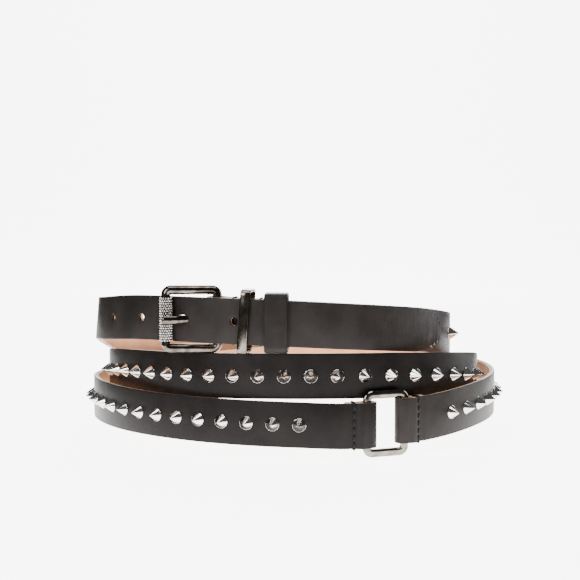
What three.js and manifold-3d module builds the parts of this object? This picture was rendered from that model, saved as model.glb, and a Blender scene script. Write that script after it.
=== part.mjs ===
// A studded leather belt that goes three times round the waist, laid in its coil as it rests.
// Millimetres, +Z up. The origin is on the resting surface, under the middle of the belt's box.
// The buckle faces -Y. A turn angle of 0 is the front, 90 the right side and 180 the back.
import * as THREE from 'three';
import { mergeVertices } from 'three/addons/utils/BufferGeometryUtils.js';
import Module from 'manifold-3d';

const wasm = await Module();
wasm.setup();

// Leather
const strapWidth = 25;
const outerThickness = 1.6;
const liningThickness = 1.1;
const layerGap = 0.3;
const liningInset = 0.3;
const edgeChamfer = 0.35;
const strapThickness = outerThickness + layerGap + liningThickness;
const layClearance = 0.5;
const foldClearance = 0.45;
const foldTaper = 13;

// Coil
const waistRadius = 104;
const sweepStep = 7;
const lapClearance = 1;

// Studs
const studDiameter = 8;
const studHeight = 6;
const studRim = 0.5;
const studSides = 10;
const studSeat = 0.3;
const studSink = 0.8;
const buckleStudMarks = [73, 372.6, 411, 722.3];
const buckleStudSpaces = [38, 5, 43];
const tipStudMarks = [765, 915];
const tipStudSpaces = [22];
const shownHalf = 87.5;

// Buckle
const frameWidth = 34;
const frameHeight = 38;
const frameBar = 4.8;
const frameCorner = 5.2;
const hingeTurn = -21;
const rollerDiameter = 7.8;
const rollerLength = 25;
const rollerClearance = 0.3;
const prongDiameter = 3.2;
const prongEyeWall = 1.3;
const prongClearance = 0.25;
const prongOverhang = 0.6;
const prongLift = 0.1;
const slotClearance = 0.7;
const buckleFoldLength = 42;

// Keepers
const metalKeeperWidth = 5.8;
const metalKeeperHeight = 36.4;
const metalKeeperWall = 1.7;
const metalKeeperBevel = 0.5;
const metalKeeperTurn = -11.9;
const metalKeeperLean = 4;
const leatherKeeperWidth = 13.3;
const leatherKeeperHeight = 33.4;
const leatherKeeperWall = 2.2;
const leatherKeeperBevel = 0.4;
const leatherKeeperTurn = -3.6;
const keeperClearance = 0.6;

// Joining ring
const ringWidth = 28;
const ringHeight = 38;
const ringBar = 4.7;
const ringDepth = 3;
const ringCorner = 3.2;
const ringBevel = 0.7;
const ringTurn = 745.3;
const ringFoldLength = 14;

// Holes and tip
const holeDiameter = 4.5;
const holePitch = 32;
const holeSides = 14;
const prongHoleTurn = 1050.6;
const prongHoleStretch = 0.95;
const holesBeforeProng = 2;
const holesAfterProng = 1;
const tipTurn = 1136;
const tipLength = 32;

const fullTurn = 360;
const degree = Math.PI / 180;
const lap = strapThickness + studHeight + lapClearance;
const ringSill = (ringHeight - strapWidth) / 2 / strapWidth;

// Route of the strap's outer face. The reach is a share of the waist radius, laps counts how many
// other turns lie inside this one, the rise of the lower edge is a share of the strap's width, and
// the lean tips the upper edge outwards, in degrees.
const buckleRoute = [
  { turn: -22, reach: 1.159, laps: 0, rise: 2.6, lean: 0 },
  { turn: 0, reach: 1.159, laps: 0, rise: 2.552, lean: 0 },
  { turn: 15, reach: 1.146, laps: 0, rise: 2.471, lean: 0 },
  { turn: 37, reach: 1.087, laps: 0, rise: 2.3, lean: 0 },
  { turn: 56, reach: 1.019, laps: 0, rise: 2.11, lean: 0 },
  { turn: 70, reach: 0.988, laps: 0, rise: 1.97, lean: 0 },
  { turn: 90, reach: 0.971, laps: 0, rise: 1.79, lean: 0 },
  { turn: 110, reach: 0.966, laps: 0, rise: 1.55, lean: 0 },
  { turn: 130, reach: 0.971, laps: 0, rise: 1.24, lean: 0 },
  { turn: 150, reach: 0.981, laps: 0, rise: 0.9, lean: 0 },
  { turn: 180, reach: 1.000, laps: 0, rise: 0.54, lean: 0 },
  { turn: 200, reach: 1.019, laps: 0, rise: 0.42, lean: 0 },
  { turn: 225, reach: 1.053, laps: 0, rise: 0.38, lean: 0 },
  { turn: 243, reach: 1.075, laps: 0, rise: 0.52, lean: 0 },
  { turn: 270, reach: 1.101, laps: 0, rise: 0.885, lean: 0 },
  { turn: 300, reach: 1.082, laps: 0, rise: 1.15, lean: 0 },
  { turn: 330, reach: 1.115, laps: 0, rise: 1.29, lean: 0 },
  { turn: 360, reach: 1.168, laps: 0, rise: 1.369, lean: 0 },
  { turn: 390, reach: 1.150, laps: 0.3, rise: 1.31, lean: 0 },
  { turn: 420, reach: 1.118, laps: 0.7, rise: 1.1, lean: 0 },
  { turn: 450, reach: 1.018, laps: 1, rise: 0.72, lean: 0 },
  { turn: 495, reach: 1.004, laps: 1, rise: 0.24, lean: 0 },
  { turn: 540, reach: 1.000, laps: 1, rise: 0.020, lean: 0 },
  { turn: 565, reach: 1.024, laps: 1, rise: 0.005, lean: 0 },
  { turn: 590, reach: 1.057, laps: 1, rise: 0.042, lean: 0 },
  { turn: 612, reach: 1.085, laps: 1, rise: 0.18, lean: 0 },
  { turn: 630, reach: 1.100, laps: 1, rise: 0.28, lean: 0 },
  { turn: 660, reach: 1.101, laps: 0.7, rise: 0.31, lean: 0 },
  { turn: 690, reach: 1.125, laps: 0.4, rise: 0.32, lean: 0 },
  { turn: 720, reach: 1.212, laps: 0, rise: 0.303, lean: 0 },
  { turn: 735, reach: 1.245, laps: 0, rise: ringSill, lean: 0 },
  { turn: 750, reach: 1.267, laps: 0, rise: ringSill, lean: 0 },
];
const tipRouteStart = [
  { turn: 740, reach: 1.253, laps: 0, rise: ringSill, lean: 0 },
  { turn: 755, reach: 1.271, laps: 0, rise: 0.33, lean: 0 },
  { turn: 780, reach: 1.168, laps: 1, rise: 0.45, lean: 0 },
  { turn: 810, reach: 1.043, laps: 2, rise: 0.47, lean: 0 },
  { turn: 860, reach: 1.024, laps: 2, rise: 0.44, lean: 0 },
  { turn: 880, reach: 1.020, laps: 2, rise: 0.48, lean: 0 },
  { turn: 900, reach: 1.010, laps: 2, rise: 0.58, lean: 0 },
  { turn: 920, reach: 1.024, laps: 2, rise: 0.84, lean: 0 },
  { turn: 945, reach: 1.019, laps: 2, rise: 1.2, lean: -1 },
  { turn: 963, reach: 1.096, laps: 1, rise: 1.54, lean: -3 },
  { turn: 990, reach: 1.171, laps: 0, rise: 2.16, lean: -5 },
  { turn: 1015, reach: 1.175, laps: 0, rise: 2.4, lean: -3 },
  { turn: 1035, reach: 1.186, laps: 0, rise: 2.56, lean: 0 },
];
// The tip lies on the first stretch of the buckle strap, so its last rows follow that stretch.
const overlapRows = 6;
const tipRoute = tipRouteStart.concat(
  buckleRoute.slice(0, overlapRows).map((row) => ({
    ...row,
    turn: row.turn + 3 * fullTurn,
    reach: row.reach + (strapThickness + layClearance) / waistRadius,
  })),
);

// Taper of the tip: how wide the strap still is at a share of the tip's length from its point.
const tipTaper = [
  { along: 0, width: 0.16 },
  { along: 0.03, width: 0.30 },
  { along: 0.10, width: 0.44 },
  { along: 0.30, width: 0.66 },
  { along: 0.60, width: 0.88 },
  { along: 1, width: 1 },
];

// Materials
function leatherBlack(name) {
  return new THREE.MeshStandardMaterial({ name, color: 0x171717, roughness: 0.5, metalness: 0 });
}
function leatherTan(name) {
  return new THREE.MeshStandardMaterial({ name, color: 0xb98258, roughness: 0.7, metalness: 0 });
}
function studSteel(name) {
  return new THREE.MeshStandardMaterial({ name, color: 0xc9c8c4, roughness: 0.15, metalness: 1 });
}
function gunmetal(name) {
  return new THREE.MeshStandardMaterial({ name, color: 0x4a4744, roughness: 0.2, metalness: 1 });
}

const belt = new THREE.Group();
belt.name = 'studded_belt';

function addPiece(name, geometry, makeMaterial) {
  const mesh = new THREE.Mesh(geometry, makeMaterial(`${name}_material`));
  mesh.name = name;
  belt.add(mesh);
  return mesh;
}

// Closed solids from sections, and their cuts and joins

function signedVolume(position, index) {
  let volume = 0;
  const a = new THREE.Vector3();
  const b = new THREE.Vector3();
  const c = new THREE.Vector3();
  for (let i = 0; i < index.length; i += 3) {
    a.fromArray(position, index[i] * 3);
    b.fromArray(position, index[i + 1] * 3);
    c.fromArray(position, index[i + 2] * 3);
    volume += a.dot(b.cross(c)) / 6;
  }
  return volume;
}

function solidGeometry(position, index) {
  if (signedVolume(position, index) < 0) {
    index.reverse();
  }
  const geometry = new THREE.BufferGeometry();
  geometry.setAttribute('position', new THREE.Float32BufferAttribute(position, 3));
  geometry.setIndex(index);
  geometry.computeVertexNormals();
  return geometry;
}

// A section of (across, along) points is carried through frames that hold an origin, a direction
// for each of the two, and so a turn and a scale.
function sweep(frames, section, closed) {
  const position = [];
  for (const frame of frames) {
    for (const corner of section) {
      const point = frame.origin.clone();
      point.addScaledVector(frame.across, corner.x);
      point.addScaledVector(frame.along, corner.y);
      position.push(point.x, point.y, point.z);
    }
  }
  const count = section.length;
  const index = [];
  const last = closed ? frames.length : frames.length - 1;
  for (let i = 0; i < last; i += 1) {
    const here = i * count;
    const next = ((i + 1) % frames.length) * count;
    for (let j = 0; j < count; j += 1) {
      const k = (j + 1) % count;
      index.push(here + j, here + k, next + k, here + j, next + k, next + j);
    }
  }
  if (!closed) {
    const end = (frames.length - 1) * count;
    for (const [a, b, c] of THREE.ShapeUtils.triangulateShape(section, [])) {
      const flip = THREE.ShapeUtils.isClockWise(section);
      const cap = flip ? [a, b, c] : [c, b, a];
      index.push(cap[0], cap[1], cap[2]);
      index.push(end + cap[2], end + cap[1], end + cap[0]);
    }
  }
  return solidGeometry(position, index);
}

function mergedCorners(geometry) {
  const bare = geometry.clone();
  bare.deleteAttribute('normal');
  bare.deleteAttribute('uv');
  return mergeVertices(bare, 1e-4);
}

// A turned piece: its profile of (radius, height) points goes round the Y axis.
function turned(profile, sides) {
  const merged = mergedCorners(new THREE.LatheGeometry(profile, sides));
  const all = Array.from(merged.index.array);
  const index = [];
  for (let i = 0; i < all.length; i += 3) {
    const [a, b, c] = all.slice(i, i + 3);
    if (a !== b && b !== c && c !== a) {
      index.push(a, b, c);
    }
  }
  return solidGeometry(Array.from(merged.attributes.position.array), index);
}

function toSolid(geometry) {
  const merged = mergedCorners(geometry);
  return new wasm.Manifold(new wasm.Mesh({
    numProp: 3,
    vertProperties: new Float32Array(merged.attributes.position.array),
    triVerts: new Uint32Array(merged.index.array),
  }));
}

function toGeometry(solid) {
  const mesh = solid.getMesh();
  return solidGeometry(Array.from(mesh.vertProperties), Array.from(mesh.triVerts));
}

// Places on the coil

function routeReader(rows) {
  const values = rows.flatMap((row) => [
    row.reach * waistRadius + row.laps * lap,
    row.rise * strapWidth + strapWidth / 2,
    row.lean * degree,
  ]);
  const curve = new THREE.CubicInterpolant(rows.map((row) => row.turn), values, 3);
  return (turn) => {
    const [radius, height, lean] = curve.evaluate(turn);
    return { radius, height, lean };
  };
}
const onBuckleStrap = routeReader(buckleRoute);
const onTipStrap = routeReader(tipRoute);

function outward(turn) {
  return new THREE.Vector3(Math.sin(turn * degree), -Math.cos(turn * degree), 0);
}
function forward(turn) {
  return new THREE.Vector3(Math.cos(turn * degree), Math.sin(turn * degree), 0);
}
function placeAt(turn, radius, height) {
  return outward(turn).multiplyScalar(radius).setZ(height);
}

// A frame on the outer face: across points out of the face, along points up the strap's width.
function faceFrame(read, turn, inset = 0) {
  const { radius, height, lean } = read(turn);
  const ahead = read(turn + 1);
  const behind = read(turn - 1);
  const slope = (ahead.radius - behind.radius) / (2 * degree * radius);
  const across = outward(turn).addScaledVector(forward(turn), -slope).normalize();
  const origin = placeAt(turn, radius - inset, height);
  const upright = new THREE.Vector3(0, 0, Math.cos(lean));
  const along = upright.addScaledVector(across, Math.sin(lean));
  const level = across.clone().multiplyScalar(Math.cos(lean)).setZ(-Math.sin(lean));
  return { origin, across: level, along };
}

function arcLength(read, start, end) {
  const steps = 40;
  let total = 0;
  let before = faceFrame(read, start).origin;
  for (let i = 1; i <= steps; i += 1) {
    const here = faceFrame(read, start + ((end - start) * i) / steps).origin;
    total += here.distanceTo(before);
    before = here;
  }
  return total;
}

function longLength(read, start, end) {
  const stretches = Math.ceil((end - start) / 30);
  let total = 0;
  for (let i = 0; i < stretches; i += 1) {
    const step = (end - start) / stretches;
    total += arcLength(read, start + i * step, start + (i + 1) * step);
  }
  return total;
}

// The turn angle that lies a given length along the strap from another one.
function turnAfter(read, start, length) {
  let turn = start;
  for (let i = 0; i < 6; i += 1) {
    const radius = read(turn).radius;
    const error = length - Math.sign(turn - start || length) * arcLength(read, start, turn);
    turn += error / (radius * degree);
  }
  return turn;
}

// Straps

// A strap end folded round a bar and laid back along its own inner side. The list runs from the
// place where the fold leaves the strap's face to the cut end.
function foldFrames(read, turn, way, barRadius, barShift, length) {
  const outerRadius = barRadius + foldClearance + strapThickness;
  const start = faceFrame(read, turn);
  const travel = forward(turn).multiplyScalar(way);
  const centre = start.origin.clone().addScaledVector(start.across, -outerRadius);
  centre.addScaledVector(travel, barShift);
  const frames = [];
  const arcSteps = 8;
  for (let i = 0; i <= arcSteps; i += 1) {
    const angle = (Math.PI * i) / arcSteps;
    const across = start.across.clone().multiplyScalar(Math.cos(angle));
    across.addScaledVector(travel, Math.sin(angle));
    const origin = centre.clone().addScaledVector(across, outerRadius);
    frames.push({ origin, across, along: start.along });
  }
  const laidBack = 2 * strapThickness + layClearance;
  const backSteps = 6;
  for (let i = 1; i <= backSteps; i += 1) {
    const share = i / backSteps;
    const ease = Math.min(1, (share * length) / foldTaper);
    const depth = 2 * outerRadius + (laidBack - 2 * outerRadius) * ease * ease * (3 - 2 * ease);
    const backTurn = turnAfter(read, turn, -way * length * share);
    const frame = faceFrame(read, backTurn);
    const origin = frame.origin.clone().addScaledVector(frame.across, -depth);
    frames.push({ origin, across: frame.across.clone().negate(), along: frame.along });
  }
  return frames;
}

function runFrames(read, start, end) {
  const count = Math.ceil((end - start) / sweepStep);
  const frames = [];
  for (let i = 0; i <= count; i += 1) {
    frames.push(faceFrame(read, start + ((end - start) * i) / count));
  }
  return frames;
}

function tipFrames(read, end) {
  return tipTaper.map((row) => {
    const frame = faceFrame(read, turnAfter(read, end, -row.along * tipLength));
    frame.along.multiplyScalar(row.width);
    return frame;
  }).reverse();
}

function outerSection() {
  const half = strapWidth / 2;
  return [
    new THREE.Vector2(0, half - edgeChamfer),
    new THREE.Vector2(-edgeChamfer, half),
    new THREE.Vector2(-outerThickness, half),
    new THREE.Vector2(-outerThickness, -half),
    new THREE.Vector2(-edgeChamfer, -half),
    new THREE.Vector2(0, -half + edgeChamfer),
  ];
}

function liningSection() {
  const half = strapWidth / 2 - liningInset;
  const face = outerThickness + layerGap;
  return [
    new THREE.Vector2(-face, half),
    new THREE.Vector2(-face - liningThickness, half),
    new THREE.Vector2(-face - liningThickness, -half),
    new THREE.Vector2(-face, -half),
  ];
}

// Carries a turned piece from the Y axis to stand square on the strap's face.
function standingOn(frame) {
  const basis = new THREE.Matrix4();
  const side = frame.across.clone().cross(frame.along);
  return basis.makeBasis(side, frame.across, frame.along).setPosition(frame.origin);
}

// Studs: a short rim under a plain cone, pointing out of the strap's face

function studGeometry(frame, sink) {
  const radius = studDiameter / 2;
  const profile = [
    new THREE.Vector2(0, -sink),
    new THREE.Vector2(radius, -sink),
    new THREE.Vector2(radius, studRim),
    new THREE.Vector2(0, studHeight),
  ];
  const cone = turned(profile, studSides);
  return cone.applyMatrix4(standingOn(frame));
}

// Each stretch between two marks has a whole number of equal spaces from stud to stud.
function studTurns(read, marks, spaces) {
  const turns = [marks[0]];
  spaces.forEach((count, i) => {
    const length = longLength(read, marks[i], marks[i + 1]);
    for (let j = 1; j < count; j += 1) {
      turns.push(turnAfter(read, turns[turns.length - 1], length / count));
    }
    turns.push(marks[i + 1]);
  });
  return turns;
}

// A stud is a piece of its own on the front half of the coil, where it shows.
function isShown(turn) {
  return Math.abs(turn - Math.round(turn / fullTurn) * fullTurn) < shownHalf;
}

function addStuds(read, turns, leather, label) {
  let body = leather;
  let number = 0;
  for (const turn of turns) {
    const frame = faceFrame(read, turn);
    if (isShown(turn)) {
      number += 1;
      frame.origin.addScaledVector(frame.across, studSeat);
      const name = `${label}_stud_${String(number).padStart(2, '0')}`;
      addPiece(name, studGeometry(frame, 0), studSteel);
    } else {
      body = body.add(toSolid(studGeometry(frame, studSink)));
    }
  }
  return body;
}

// A place at a depth under the strap's outer face, or above it where the depth is negative
function seatAt(read, turn, depth) {
  const frame = faceFrame(read, turn);
  return frame.origin.addScaledVector(frame.across, -depth);
}

// Buckle places. The roller bar lies on the tip strap and the hinge bar lies in the buckle
// strap's fold, so the frame's own width sets the angle between them.
const barSpacing = frameWidth - frameBar;
const hingePlace = seatAt(onBuckleStrap, hingeTurn, strapThickness + foldClearance + frameBar / 2);
const buckleHeight = hingePlace.z;
const rollerSeat = -rollerClearance - rollerDiameter / 2;
let barAngle = barSpacing / (waistRadius * degree);
for (let i = 0; i < 12; i += 1) {
  const trial = seatAt(onTipStrap, hingeTurn + 3 * fullTurn - barAngle, rollerSeat);
  barAngle *= barSpacing / trial.setZ(buckleHeight).distanceTo(hingePlace);
}
const rollerTurn = hingeTurn - barAngle;
const rollerPlace = seatAt(onTipStrap, rollerTurn + 3 * fullTurn, rollerSeat).setZ(buckleHeight);
const buckleSideways = hingePlace.clone().sub(rollerPlace).normalize();
const buckleOutward = buckleSideways.clone().cross(new THREE.Vector3(0, 0, 1));

function roundSection(diameter, sides) {
  const points = [];
  for (let i = 0; i < sides; i += 1) {
    const angle = (2 * Math.PI * (i + 0.5)) / sides;
    const radius = diameter / 2;
    points.push(new THREE.Vector2(radius * Math.cos(angle), radius * Math.sin(angle)));
  }
  return points;
}

function bevelledSection(across, along, bevel) {
  const a = across / 2;
  const b = along / 2;
  return [
    new THREE.Vector2(a, b - bevel),
    new THREE.Vector2(a - bevel, b),
    new THREE.Vector2(-a + bevel, b),
    new THREE.Vector2(-a, b - bevel),
    new THREE.Vector2(-a, -b + bevel),
    new THREE.Vector2(-a + bevel, -b),
    new THREE.Vector2(a - bevel, -b),
    new THREE.Vector2(a, -b + bevel),
  ];
}

// Frames round a rounded rectangle on its centre line: across points out of the loop in its own
// plane, and along is square to that plane.
function loopFrames(centre, sideways, upwards, width, height, corner, cornerSteps) {
  const square = sideways.clone().cross(upwards).normalize();
  const frames = [];
  for (let quarter = 0; quarter < 4; quarter += 1) {
    const signX = quarter === 0 || quarter === 3 ? 1 : -1;
    const signY = quarter < 2 ? 1 : -1;
    for (let i = 0; i <= cornerSteps; i += 1) {
      const angle = (Math.PI / 2) * (quarter + i / cornerSteps);
      const across = sideways.clone().multiplyScalar(Math.cos(angle));
      across.addScaledVector(upwards, Math.sin(angle));
      const origin = centre.clone();
      origin.addScaledVector(sideways, signX * (width / 2 - corner));
      origin.addScaledVector(upwards, signY * (height / 2 - corner));
      origin.addScaledVector(across, corner);
      frames.push({ origin, across, along: square });
    }
  }
  return frames;
}

const up = new THREE.Vector3(0, 0, 1);

function buckleFrame() {
  const centre = hingePlace.clone().add(rollerPlace).multiplyScalar(0.5);
  const corner = frameCorner - frameBar / 2;
  const frames = loopFrames(
    centre, buckleSideways, up, barSpacing, frameHeight - frameBar, corner, 4,
  );
  return sweep(frames, roundSection(frameBar, 10), true);
}

// A sleeve turned round an upright axis
function sleeve(place, boreDiameter, diameter, length, sides) {
  const half = length / 2;
  const profile = [
    new THREE.Vector2(boreDiameter / 2, -half),
    new THREE.Vector2(diameter / 2, -half),
    new THREE.Vector2(diameter / 2, half),
    new THREE.Vector2(boreDiameter / 2, half),
    new THREE.Vector2(boreDiameter / 2, -half),
  ];
  const tube = turned(profile, sides);
  tube.rotateX(Math.PI / 2);
  tube.translate(place.x, place.y, place.z);
  return tube;
}

function roller() {
  const bore = frameBar + 2 * rollerClearance;
  return sleeve(rollerPlace, bore, rollerDiameter, rollerLength, 20);
}

// The prong runs from the hinge bar behind the tip strap, up through its hole and over the roller.
function prong() {
  const half = prongDiameter / 2;
  const under = frameBar / 2 + prongClearance + half;
  const over = rollerDiameter / 2 + rollerClearance + half;
  const behind = strapThickness + prongClearance + half;
  const bend = over * Math.SQRT1_2 * 1.08;
  const beside = turnAfter(onTipStrap, prongHoleTurn, prongDiameter * 1.35);
  const aroundRoller = (right, out) => rollerPlace.clone()
    .addScaledVector(buckleSideways, right)
    .addScaledVector(buckleOutward, out);
  const route = [
    hingePlace.clone().addScaledVector(outward(hingeTurn), under),
    seatAt(onTipStrap, beside, behind).setZ(buckleHeight),
    seatAt(onTipStrap, prongHoleTurn, strapThickness / 2).setZ(buckleHeight),
    aroundRoller(bend, bend),
    aroundRoller(0, over + prongLift),
    aroundRoller(-prongOverhang, over),
  ];
  const curve = new THREE.CatmullRomCurve3(route);
  const steps = 16;
  const frames = [];
  for (let i = 0; i <= steps; i += 1) {
    const tangent = curve.getTangentAt(i / steps);
    const across = up.clone().cross(tangent).normalize();
    const scale = i === steps ? 0.6 : 1;
    frames.push({
      origin: curve.getPointAt(i / steps),
      across: across.multiplyScalar(scale),
      along: up.clone().multiplyScalar(scale),
    });
  }
  const bar = toSolid(sweep(frames, roundSection(prongDiameter, 8), false));
  const eyeBore = frameBar + 2 * prongClearance;
  const eye = toSolid(
    sleeve(hingePlace, eyeBore, eyeBore + 2 * prongEyeWall, prongDiameter, 16),
  );
  const hingeRoom = toSolid(sleeve(hingePlace, 0, eyeBore, 3 * prongDiameter, 16));
  return toGeometry(bar.add(eye).subtract(hingeRoom));
}

// A square-cornered block in a frame of its own, for cutting
function block(centre, across, along, size) {
  const box = new THREE.BoxGeometry(size.across, size.along, size.depth);
  const basis = new THREE.Matrix4();
  basis.makeBasis(across, along, across.clone().cross(along));
  basis.setPosition(centre);
  return box.applyMatrix4(basis);
}

// The slot in the buckle strap's fold lets the prong swing on the hinge bar.
function prongSlot() {
  const reach = frameBar / 2 + foldClearance + strapThickness;
  const centre = hingePlace.clone().addScaledVector(forward(hingeTurn), -reach / 2);
  return toSolid(block(centre, forward(hingeTurn), up, {
    across: 2 * reach + frameBar,
    along: prongDiameter + 2 * slotClearance,
    depth: 4 * reach,
  }));
}

// Belt holes go straight through both layers. The prong's own hole is drawn long by its pull.
function holeCutter(turn, stretch) {
  const frame = faceFrame(onTipStrap, turn);
  const drill = new THREE.CylinderGeometry(
    holeDiameter / 2, holeDiameter / 2, 4 * strapThickness, holeSides,
  );
  drill.scale(1 + stretch, 1, 1);
  return toSolid(drill.applyMatrix4(standingOn(frame)));
}

function cutHoles(solid) {
  let cut = solid;
  for (let i = -holesBeforeProng; i <= holesAfterProng; i += 1) {
    const turn = turnAfter(onTipStrap, prongHoleTurn, i * holePitch);
    cut = cut.subtract(holeCutter(turn, i === 0 ? prongHoleStretch : 0));
  }
  return cut;
}

// Keepers: bands round the tip strap, the buckle strap and its fold
function keeper(turn, width, height, wall, lean, bevel) {
  const outer = onTipStrap(turn + 3 * fullTurn);
  const stack = 3 * strapThickness + 2 * layClearance;
  const depth = stack + 2 * keeperClearance + wall;
  const centre = placeAt(turn, outer.radius - stack / 2, outer.height);
  const upwards = up.clone().applyAxisAngle(outward(turn), -lean * degree);
  const corner = wall * 1.2;
  const frames = loopFrames(centre, outward(turn), upwards, depth, height - wall, corner, 3);
  return sweep(frames, bevelledSection(wall, width, bevel), true);
}

// Joining ring: its side bars lie in the folds of the two strap ends
const ringFoldReach = ringDepth / 2 + foldClearance + strapThickness;
const ringBarSpacing = ringWidth - ringBar;
const ringEdgeShift = (ringBar - ringDepth) / 2;
const ringBars = () => [
  seatAt(onBuckleStrap, ringTurn - ringHalfAngle, ringFoldReach).setZ(ringHeight / 2),
  seatAt(onTipStrap, ringTurn + ringHalfAngle, ringFoldReach).setZ(ringHeight / 2),
];
let ringHalfAngle = ringBarSpacing / 2 / (waistRadius * degree);
for (let i = 0; i < 12; i += 1) {
  const [left, right] = ringBars();
  ringHalfAngle *= ringBarSpacing / left.distanceTo(right);
}

function joiningRing() {
  const [left, right] = ringBars();
  const centre = left.clone().add(right).multiplyScalar(0.5);
  const sideways = right.clone().sub(left).normalize();
  const frames = loopFrames(
    centre, sideways, up, ringBarSpacing, ringHeight - ringBar, ringCorner, 3,
  );
  return sweep(frames, bevelledSection(ringBar, ringDepth, ringBevel), true);
}

// The buckle strap runs from its fold at the hinge bar to its fold at the ring.
const buckleEndTurn = ringTurn - ringHalfAngle;
const buckleFold = foldFrames(
  onBuckleStrap, hingeTurn, -1, frameBar / 2, 0, buckleFoldLength,
).reverse();
const buckleRun = runFrames(onBuckleStrap, hingeTurn, buckleEndTurn);
const buckleEndFold = foldFrames(
  onBuckleStrap, buckleEndTurn, 1, ringDepth / 2, ringEdgeShift, ringFoldLength,
);
const buckleFrames = buckleFold.slice(0, -1).concat(buckleRun, buckleEndFold);

// The tip strap runs from its own fold at the ring to the pointed end.
const tipStartTurn = ringTurn + ringHalfAngle;
const taperTurn = turnAfter(onTipStrap, tipTurn, -tipLength);
const tipFold = foldFrames(
  onTipStrap, tipStartTurn, -1, ringDepth / 2, ringEdgeShift, ringFoldLength,
).reverse();
const tipRun = runFrames(onTipStrap, tipStartTurn, taperTurn);
const tipEnd = tipFrames(onTipStrap, tipTurn);
const tipStrapFrames = tipFold.concat(tipRun.slice(0, -1), tipEnd);

let buckleLeather = toSolid(sweep(buckleFrames, outerSection(), false)).subtract(prongSlot());
const buckleStuds = studTurns(onBuckleStrap, buckleStudMarks, buckleStudSpaces);
buckleLeather = addStuds(onBuckleStrap, buckleStuds, buckleLeather, 'buckle_strap');
addPiece('buckle_strap_leather', toGeometry(buckleLeather), leatherBlack);
const buckleLining = toSolid(sweep(buckleFrames, liningSection(), false)).subtract(prongSlot());
addPiece('buckle_strap_lining', toGeometry(buckleLining), leatherTan);

let tipLeather = cutHoles(toSolid(sweep(tipStrapFrames, outerSection(), false)));
const tipStuds = studTurns(onTipStrap, tipStudMarks, tipStudSpaces);
tipLeather = addStuds(onTipStrap, tipStuds, tipLeather, 'tip_strap');
addPiece('tip_strap_leather', toGeometry(tipLeather), leatherBlack);
const tipLining = cutHoles(toSolid(sweep(tipStrapFrames, liningSection(), false)));
addPiece('tip_strap_lining', toGeometry(tipLining), leatherTan);

addPiece('buckle_frame', buckleFrame(), gunmetal);
addPiece('buckle_roller', roller(), studSteel);
addPiece('buckle_prong', prong(), gunmetal);
addPiece('metal_keeper', keeper(
  metalKeeperTurn, metalKeeperWidth, metalKeeperHeight, metalKeeperWall, metalKeeperLean,
  metalKeeperBevel,
), gunmetal);
addPiece('leather_keeper', keeper(
  leatherKeeperTurn, leatherKeeperWidth, leatherKeeperHeight, leatherKeeperWall, 0,
  leatherKeeperBevel,
), leatherBlack);
addPiece('joining_ring', joiningRing(), gunmetal);

const extent = new THREE.Box3().setFromObject(belt);
const middle = extent.getCenter(new THREE.Vector3());
belt.position.set(-middle.x, -middle.y, -extent.min.z);

export default belt;
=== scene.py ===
# %% [markdown]
# # A studded wrap belt, laid in its coil
# A long leather belt goes three times round the waist. It lies on a pale surface as it was taken
# off: black leather outside, tan leather inside, a row of cone studs, a pin buckle with a beaded
# roller, two keepers and a ring that joins its two straps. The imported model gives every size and
# place, and this lesson dresses it piece by piece.

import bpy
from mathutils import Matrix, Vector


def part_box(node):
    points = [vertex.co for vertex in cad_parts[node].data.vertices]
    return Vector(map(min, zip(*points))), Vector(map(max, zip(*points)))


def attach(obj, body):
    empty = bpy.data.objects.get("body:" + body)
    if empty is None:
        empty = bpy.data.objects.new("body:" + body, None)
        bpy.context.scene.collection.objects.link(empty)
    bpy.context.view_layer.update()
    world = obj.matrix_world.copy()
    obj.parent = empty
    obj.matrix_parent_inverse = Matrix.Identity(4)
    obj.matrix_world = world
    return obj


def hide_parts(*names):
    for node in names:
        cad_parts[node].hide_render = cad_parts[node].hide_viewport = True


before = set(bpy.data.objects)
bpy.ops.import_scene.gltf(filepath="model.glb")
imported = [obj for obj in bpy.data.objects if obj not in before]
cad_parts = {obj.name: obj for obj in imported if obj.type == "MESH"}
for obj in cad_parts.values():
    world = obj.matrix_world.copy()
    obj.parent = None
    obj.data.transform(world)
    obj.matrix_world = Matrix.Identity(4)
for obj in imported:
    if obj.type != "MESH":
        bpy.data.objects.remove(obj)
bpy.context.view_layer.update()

# %% Tools and the unit
import math

import bmesh
import bpy
from mathutils import Matrix, Vector

MM = 0.001
print("lengths are in metres, and a millimetre is", MM)

# %% [markdown]
# ## The camera
# The photograph was taken from straight in front and a little above, with a long lens, so the
# coil looks almost flat. A long lens from about a metre away shows the belt in the same way.

# %% The camera
CAMERA_PLACE = (-2.152 * MM, -968.157 * MM, 165.5 * MM)
CAMERA_DROP = math.radians(4.745)
CAMERA_LENS = 94.97
SENSOR_WIDTH = 36

camera_data = bpy.data.cameras.new("camera")
camera_data.lens = CAMERA_LENS
camera_data.sensor_width = SENSOR_WIDTH
camera_data.clip_start = 0.01
camera = bpy.data.objects.new("camera", camera_data)
camera.location = CAMERA_PLACE
camera.rotation_euler = (math.pi / 2 - CAMERA_DROP, 0, 0)
bpy.context.collection.objects.link(camera)
bpy.context.scene.camera = camera
print("camera at", [round(v, 3) for v in CAMERA_PLACE], "m")

# %% [markdown]
# ## Sizes
# The strap is 25 mm wide and 3 mm thick: 1.6 mm of black leather on 1.4 mm of tan lining. Each
# size is written once here, in metres, and the pieces are worked out from it.

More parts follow.
